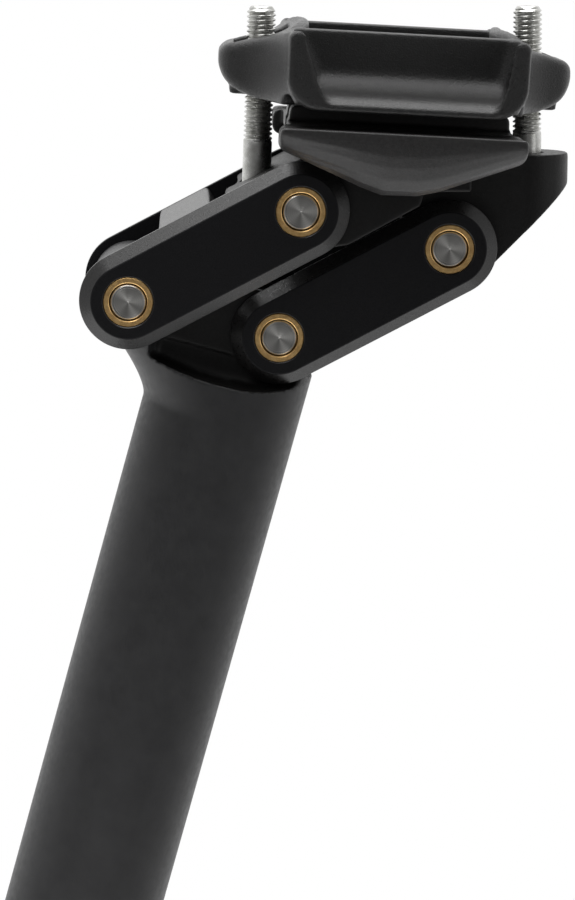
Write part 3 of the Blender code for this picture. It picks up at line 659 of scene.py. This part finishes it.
def make_carrier():
    beam = [(-10.2, 2.9), (-10.0, 3.4), (4.4, 10.7)] + arc(*TILT_AXIS, 16.5, 222, 306, 48)
    beam += [(28.5, 8.2), (28.5, 2.9)]
    ear = hull(circle(0, 0, 7.0, 80) + [(8.0, -5.9), (20.0, 0.6), (21.0, 4.0), (-4.0, 5.5)])
    boss = rounded([(-12.3, -4.6), (-1.2, -4.6), (3.0, 4.0), (3.0, 9.0), (-12.3, 1.7)], 1.0, 8)
    boss_x = REAR_NUT_AT[0]
    arm = arc(*REAR_UPPER, 7.4, 180, 310, 40)
    arm += [(boss_x, -5.0), (boss_x, 8.4), (27.5, 8.4), (24.0, 5.4), (17.0, 4.4)]
    steps = [("UNION", prism("ear", ear, *sorted((side * 11.3, side * 14.1)))) for side in (1, -1)]
    steps += [("UNION", prism("boss", boss, -5.3, 5.3)), ("UNION", prism("arm", arm, -7.0, 7.0)),
              ("UNION", cylinder("lug", 7.4, -8.0, 8.0, "Y", REAR_UPPER, 96)),
              ("UNION", cylinder("rear_boss", 7.1, -14, 8.4, at=(boss_x, 0), sides=96)),
              ("DIFFERENCE", prism("slope", [(30.6, -12.5), (46.9, 4.0), (60, 4.0), (60, -30), (30.6, -30)],
                                   -20, 20))]
    for place, at, seat, low in ((FRONT_NUT, FRONT_NUT_AT, FRONT_BOLT_SEAT, -8),
                                 (REAR_NUT, REAR_NUT_AT, REAR_BOLT_SEAT, -16)):
        steps.append(("DIFFERENCE", carrier_cylinder(2.8, -16, 16, place, at)))
        steps.append(("DIFFERENCE", carrier_cylinder(4.45, low, seat, place, at)))
    steps += [("DIFFERENCE", cylinder("ear_hole", PIN_HOLE, -16, 16, "Y")),
              ("DIFFERENCE", cylinder("lug_hole", PIN_HOLE, -16, 16, "Y", REAR_UPPER))]
    mesh = forged(prism("beam", beam, -14.1, 14.1), *steps, voxel=0.28, rounds=5, share=0.4)
    piece("carrier_forging", mesh, "carrier", CARRIER_BLACK, "saddle_carrier", place=CARRIER)


def bolt_mesh(top, shank_end, head_top):
    """An M5 cap screw: a head, a plain shank and a rolled thread of 0.8 mm pitch."""
    pitch, crest, root, shank, sides = 0.8, 2.44, 2.04, 2.45, 40

    def ring(z, radii):
        turns = [2 * math.pi * i / sides for i in range(sides)]
        return [(radius * math.cos(turn), radius * math.sin(turn), z) for radius, turn in zip(radii, turns)]

    def thread(z):
        """The thread's radii at a height: it fades in from the shank and tapers off at the top."""
        fade = min(1.0, (z - shank_end) / 0.8)
        tip = 1.0 if z < top - 0.9 else max(0.0, (top - z) / 0.9)
        radii = []
        for i in range(sides):
            phase = (z / pitch - i / sides) % 1.0
            wave = min(1.0, max(0.0, 1.35 - 3.1 * abs(phase - 0.5)))
            radius = crest - (crest - root) * (1 - wave) * fade
            radii.append(min(radius, root - 0.25 + (crest - root + 0.25) * tip) if tip < 1 else radius)
        return radii

    sections = [ring(z, [shank] * sides) for z in (head_top + 0.05, head_top + 4, shank_end - 0.35)]
    height = shank_end
    while height < top - 0.1:
        sections.append(ring(height, thread(height)))
        height += pitch / 8
    for z, radius in ((top - 0.02, 1.72), (top, 1.6), (top, 0.75), (top - 0.35, 0.6), (top - 0.4, 0.01)):
        sections.append(ring(z, [radius] * sides))
    shaft = loft("shaft", sections)
    low = head_top - 5.0
    profile = [(2.9, low), (3.9, low), (4.15, low + 0.2), (4.22, low + 0.45), (4.22, head_top - 0.3),
               (4.1, head_top), (2.2, head_top)]
    head = lathe("head", [(0, low)] + profile + [(0, head_top)])
    head = worked(head, ("DIFFERENCE", cylinder("socket", 2.3, low - 1, low + 2.8, sides=6)))
    return merged("bolt", [shaft, head])


def make_bolts():
    for name, node_name, place, at, seat, shank in (
            ("front_bolt", "front_clamp_bolt", FRONT_NUT, FRONT_NUT_AT, FRONT_BOLT_SEAT, 10.2),
            ("rear_bolt", "rear_clamp_bolt", REAR_NUT, REAR_NUT_AT, REAR_BOLT_SEAT, 11.6)):
        mesh = bolt_mesh(33.1 - at[1], shank - at[1], seat - 0.3 - at[1])
        piece(name, mesh, "carrier", ZINC, node_name, place=place, sharp=40)
    for name, node_name, place, body in (("front_nut_barrel", "front_barrel_nut", FRONT_NUT, "front_nut"),
                                         ("rear_nut_barrel", "rear_barrel_nut", REAR_NUT, "rear_nut")):
        profile = [(0, -5.9), (3.9, -5.9), (4.2, -5.75), (4.3, -5.5), (4.3, 5.5), (4.2, 5.75), (3.9, 5.9), (0, 5.9)]
        hole = lathe("hole", [(3.3, -8), (3.3, -4.1), (2.75, -3.7), (2.75, 3.7), (3.3, 4.1), (3.3, 8)])
        mesh = worked(lathe("nut", profile, "Y"), ("DIFFERENCE", hole))
        piece(name, mesh, body, ZINC, node_name, place=place, sharp=35)


# ---------------------------------------------------------------- saddle clamp

def rail_channel(side):
    """The round that a saddle rail leaves in both halves of the clamp."""
    loop = arc(side * 22.0, RAIL_LEVEL, 3.55, 0, 350, 35)
    return loft("rail_channel", [[(x, y, z) for y, z in loop] for x in (-30, 30)])


def make_cradle():
    top, half = RAIL_LEVEL - RAIL_GRIP, 20.2
    block = arc(0, 0, 16.2, 214, 326, 48) + [(13.6, top), (-13.6, top)]
    deck = [(-half + 1.7, top - 0.1), (-half + 1.7, -10.7), (half - 1.2, -10.7), (half - 1.2, top - 0.1)]
    spine = [(-half + 2.0, -10.5), (half - 1.5, -10.5), (half - 1.5, -5.9), (-half + 2.0, -5.9)]
    steps = [("UNION", prism("deck", deck, -18.6, 18.6)), ("UNION", prism("spine", rounded(spine, 1.5), -9, 9))]
    gusset = [(-half, top), (-half, -12.4), (-6.8, -18.0), (-3.0, -19.3), (2.8, -19.2), (6.6, -18.2), (half, -12.8),
              (half, top)]
    outline = rounded(gusset, 1.6, 6)
    for side in (1, -1):
        levels = ((17.8, 1.0), (22.0, 0.97), (24.0, 0.88), (25.4, 0.72), (26.3, 0.52), (26.85, 0.34), (27.0, 0.2))
        sections = [[(x * (0.93 + 0.07 * min(1.0, k * 2.5)), side * y, top + (z - top) * k) for x, z in outline]
                    for y, k in levels]
        left, right = sorted((side * 17.2, side * 24))
        steps += [("UNION", loft("wing", sections)), ("DIFFERENCE", rail_channel(side)),
                  ("DIFFERENCE", box("bolt_notch", (left, -3.2, -12), (right, 3.2, -4)))]
    mesh = forged(prism("block", block, -13.8, 13.8), *steps, voxel=0.28, rounds=4, share=0.35)
    piece("cradle_forging", mesh, "saddle_clamp", CRADLE_BLACK, "lower_cradle", place=CLAMP)


# Each ear's reach, half width, bottom and top
EAR_STATIONS = ((17.8, 26.4, -5.2, 7.1), (19.6, 21.5, -5.4, 6.4), (20.9, 16.6, -5.4, 5.8),
                (22.4, 13.0, -5.3, 5.3), (24.0, 10.7, -5.1, 4.9), (25.8, 9.1, -4.6, 4.5),
                (27.5, 8.1, -3.9, 4.1), (28.9, 7.3, -2.9, 3.7), (29.9, 6.3, -1.6, 3.1), (30.5, 5.0, 0.0, 2.3))


def ear_section(reach, half_width, low, high):
    corners = rounded([(-half_width, low), (half_width, low), (half_width, high), (-half_width, high)],
                      min(1.9, 0.45 * (high - low)), 6)
    return [(reach, y, z) for y, z in corners]


# The pockets' end walls from the side, and each station's distance out, inset and floor
POCKET_FRONT = ((-18.9, 9.0), (-18.9, 7.2), (-18.7, 5.6), (-17.5, 3.3), (-16.2, 0.6), (-14.9, -1.9), (-13.0, -3.3))
POCKET_REAR = ((15.0, -3.3), (16.6, -1.7), (17.6, 0.8), (18.4, 4.0), (18.8, 6.0), (18.9, 7.2), (18.9, 9.0))
POCKET_LEVELS = ((17.0, 2.4, 0.3), (17.35, 1.6, -0.5), (18.0, 0.8, -1.2), (19.0, 0.3, -1.9), (20.2, 0.1, -2.4),
                 (21.6, 0.0, -2.7), (23.4, 0.0, -2.9), (24.4, -0.05, -3.05), (25.0, -0.2, -3.2),
                 (25.6, -0.5, -3.45), (26.1, -1.0, -3.75), (26.5, -1.6, -4.1), (26.8, -2.1, -4.4),
                 (27.0, -2.6, -4.7), (28.0, -2.8, -4.8))
POCKET_END = 18.7  # no pocket comes nearer to the wing's end, which keeps its end wall
LIP_LOW, LIP_HIGH = 2, 6  # the lip's drop fades out between these heights


def pocket_section(side, y, inset, floor):
    """The open pocket over a rail: it rolls out to its lip and draws in towards its inner wall."""
    edge = spline(POCKET_FRONT, 4) + spline(POCKET_REAR, 4)
    drop = max(0.0, -inset)
    lowered = [(x, z - drop if z < LIP_LOW else z - drop * max(0.0, (LIP_HIGH - z) / (LIP_HIGH - LIP_LOW)))
               for x, z in edge]
    moved = [(max(-POCKET_END, min(POCKET_END, x - math.copysign(inset, x))), z) for x, z in lowered]
    return [(x, side * y, max(z, floor)) for x, z in moved]


def rib_section(end, y):
    """The bowed rib at each end of the deck."""
    inner, high = 15.5 + 1.5 * (y / 15) ** 2, 8.2 - 0.8 * (abs(y) / 15.6) ** 4
    corners = rounded([(inner, 5.0), (inner + 2.0, 5.0), (inner + 2.0, high), (inner, high)], 0.9, 4)
    return [(end * x, y, z) for x, z in corners]


def well_section(z):
    """The outline of the hollow between the two ribs."""
    across = [-15.0 + 30.0 * i / 30 for i in range(31)]
    front = [(-15.5 - 1.5 * (y / 15) ** 2, y) for y in across]
    return [(x, y, z) for x, y in front + [(-x, y) for x, y in reversed(front)]]


def make_upper_clamp():
    half, bottom, corner, top = 19.6, RAIL_LEVEL + RAIL_GRIP, 5.3, 7.2
    outline = arc(-half + corner, bottom + corner, corner, 180, 270, 24)
    outline += arc(half - corner, bottom + corner, corner, -90, 0, 24)
    outline += [(half, top - 0.9), (half - 0.9, top), (0.9 - half, top), (-half, top - 0.9)]
    edge = [(x * 0.98, z + 0.4 if z < 3 else z - 0.2) for x, z in outline]
    levels = ((-27.0, edge), (-26.2, outline), (26.2, outline), (27.0, edge))
    steps = []
    for end, length in ((-1, 1.0), (1, 0.945)):
        stations = [(reach * (length if reach > 20 else 1), w, low, high) for reach, w, low, high in EAR_STATIONS]
        sections = [ear_section(end * s[0], *s[1:]) for s in spline(stations, 4)]
        tip = 28.4 * length
        xs = sorted((end * tip, end * (tip - 3)))
        steps += [("UNION", loft("ear", sections)),
                  ("UNION", box("foot", (xs[0], -4.2, -4.9), (xs[1], 4.2, -1.5)))]
    for side in (1, -1):
        steps += [("DIFFERENCE", loft("pocket", [pocket_section(side, *level) for level in POCKET_LEVELS])),
                  ("DIFFERENCE", rail_channel(side))]
    steps.append(("DIFFERENCE", loft("well", [well_section(z) for z in (-1.5, 9.0)])))
    for end in (1, -1):
        steps.append(("UNION", loft("rib", [rib_section(end, -15.6 + 31.2 * i / 24) for i in range(25)])))
    holes = []
    for at in (-FRONT_NUT_REACH, REAR_NUT_REACH):
        cup = arc(at, 0, 4.6, 180, 360, 32) + [(at + 4.6, 12), (at - 4.6, 12)]
        slot = [(at + x * 1.25, y) for x, y in circle(0, 0, 3.1, 32)]
        holes += [prism("cup", cup, -6.2, 6.2), loft("bolt_slot", [[(x, y, z) for x, y in slot] for z in (-9.3, 2.55)])]
    body = loft("body", [[(x, y, z) for x, z in loop] for y, loop in levels])
    mesh = forged(body, *steps, holes=holes, voxel=0.26, rounds=6, share=0.35)
    piece("clamp_forging", mesh, "saddle_clamp", FORGED, "upper_clamp", place=CLAMP)


# ---------------------------------------------------------------- spring side

def coil_mesh(radius, wire, low, high, turns):
    """A round-wire spring of even pitch, between two heights."""
    curve = bpy.data.curves.new("coil", "CURVE")
    curve.dimensions = "3D"
    curve.bevel_depth = wire / 2 * MM
    curve.bevel_resolution = 4
    curve.use_fill_caps = True
    run = curve.splines.new("POLY")
    steps = 36
    count = turns * steps
    run.points.add(count)
    base, rise = low + wire / 2 + 0.1, high - low - wire - 0.2
    for i, point in enumerate(run.points):
        turn = 2 * math.pi * i / steps
        place = (radius * math.cos(turn), radius * math.sin(turn), base + rise * i / count)
        point.co = (*[v * MM for v in place], 1)
    thing = bpy.data.objects.new("coil", curve)
    bpy.context.scene.collection.objects.link(thing)
    mesh = bpy.data.meshes.new_from_object(thing.evaluated_get(bpy.context.evaluated_depsgraph_get()))
    bpy.data.objects.remove(thing)
    return mesh


def make_spring_side():
    low, high = 156.3, 265.6
    for name, node_name, radius, wire, turns in (("outer_coil", "main_spring", 8.2, 3.2, 11),
                                                 ("inner_coil", "inner_spring", 5.0, 2.0, 13)):
        coil = piece(name, coil_mesh(radius, wire, low, high, turns), "preload_stack", SPRING_STEEL, node_name)
        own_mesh(coil)
    looks = {"spring_piston": GROUND, "spring_seat": GROUND, "piston_sleeve": PLASTIC, "spacer_tube": PLASTIC,
             "preload_plug": ANODISED, "pusher_roller": GROUND, "roller_pin": GROUND}
    for name, look in looks.items():
        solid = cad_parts[name]
        solid.data.materials.clear()
        solid.data.materials.append(look)


# ---------------------------------------------------------------- stage

def make_floor():
    bm = bmesh.new()
    bmesh.ops.create_circle(bm, cap_ends=True, segments=128, radius=0.42)
    mesh = bpy.data.meshes.new("floor")
    bm.to_mesh(mesh)
    bm.free()
    floor = bpy.data.objects.new("floor", mesh)
    floor.location.z = -0.0005
    pale, shader = surface("pale_floor", (0.92, 0.92, 0.92), 0.8)
    link(pale, ramp(pale, noise(pale, 6, 3), (0.90, 0.90, 0.90), (0.94, 0.94, 0.94)), shader.inputs["Base Color"])
    mesh.materials.append(pale)
    bpy.context.scene.collection.objects.link(floor)


def make_world():
    """A room lighter towards +Y, which camera rays see as plain white."""
    world = bpy.data.worlds.new("studio")
    world.use_nodes = True
    tree = world.node_tree
    backdrop = tree.nodes["Background"]
    backdrop.inputs["Color"].default_value = (1, 1, 1, 1)
    room = tree.nodes.new("ShaderNodeBackground")
    towards = tree.nodes.new("ShaderNodeTexCoord")
    split = tree.nodes.new("ShaderNodeSeparateXYZ")
    tree.links.new(towards.outputs["Generated"], split.inputs["Vector"])
    spread = tree.nodes.new("ShaderNodeMapRange")
    spread.inputs["From Min"].default_value, spread.inputs["From Max"].default_value = -1, 1
    tree.links.new(split.outputs["Y"], spread.inputs["Value"])
    shades = tree.nodes.new("ShaderNodeValToRGB")
    set_levels(shades, ((0.0, 0.13), (0.3, 0.28), (0.5, 0.55), (0.8, 0.88), (1.0, 1.05)))
    tree.links.new(spread.outputs["Result"], shades.inputs["Fac"])
    tree.links.new(shades.outputs["Color"], room.inputs["Color"])
    seen = tree.nodes.new("ShaderNodeLightPath")
    choose = tree.nodes.new("ShaderNodeMixShader")
    tree.links.new(seen.outputs["Is Camera Ray"], choose.inputs["Fac"])
    tree.links.new(room.outputs["Background"], choose.inputs[1])
    tree.links.new(backdrop.outputs["Background"], choose.inputs[2])
    tree.links.new(choose.outputs["Shader"], tree.nodes["World Output"].inputs["Surface"])
    bpy.context.scene.world = world
    bpy.context.scene.view_settings.view_transform = "Standard"


def make_lights():
    target = Vector((0, 0, 0.32))
    for name, place, size, power in (("key", (-0.6, -0.7, 1.2), 0.4, 1.8), ("top", (-0.32, 0.05, 1.45), 1.3, 20),
                                     ("fill", (0.9, -0.7, 0.7), 0.6, 0.8), ("bounce", (0.0, -0.22, 0.03), 0.3, 0.12)):
        lamp = bpy.data.lights.new(name, "AREA")
        lamp.size, lamp.energy = size, power
        lamp_object = bpy.data.objects.new(name, lamp)
        lamp_object.location = place
        lamp_object.visible_camera = False
        lamp_object.rotation_euler = (target - Vector(place)).to_track_quat("-Z", "Y").to_euler()
        bpy.context.scene.collection.objects.link(lamp_object)


def make_camera():
    camera = bpy.data.cameras.new("camera")
    camera.lens, camera.sensor_width = 120, 36
    camera.clip_start, camera.clip_end = 0.02, 20
    view = bpy.data.objects.new("camera", camera)
    view.location = (-0.027729, -0.511277, 0.374696)
    view.rotation_euler = [math.radians(a) for a in (80.0408, -15.5421, -1.8683)]
    bpy.context.scene.collection.objects.link(view)
    bpy.context.scene.camera = view


make_floor()
make_world()
make_lights()
make_camera()
make_post()
make_pins()
make_bushes()
make_links()
make_carrier()
make_bolts()
make_cradle()
make_upper_clamp()
make_spring_side()
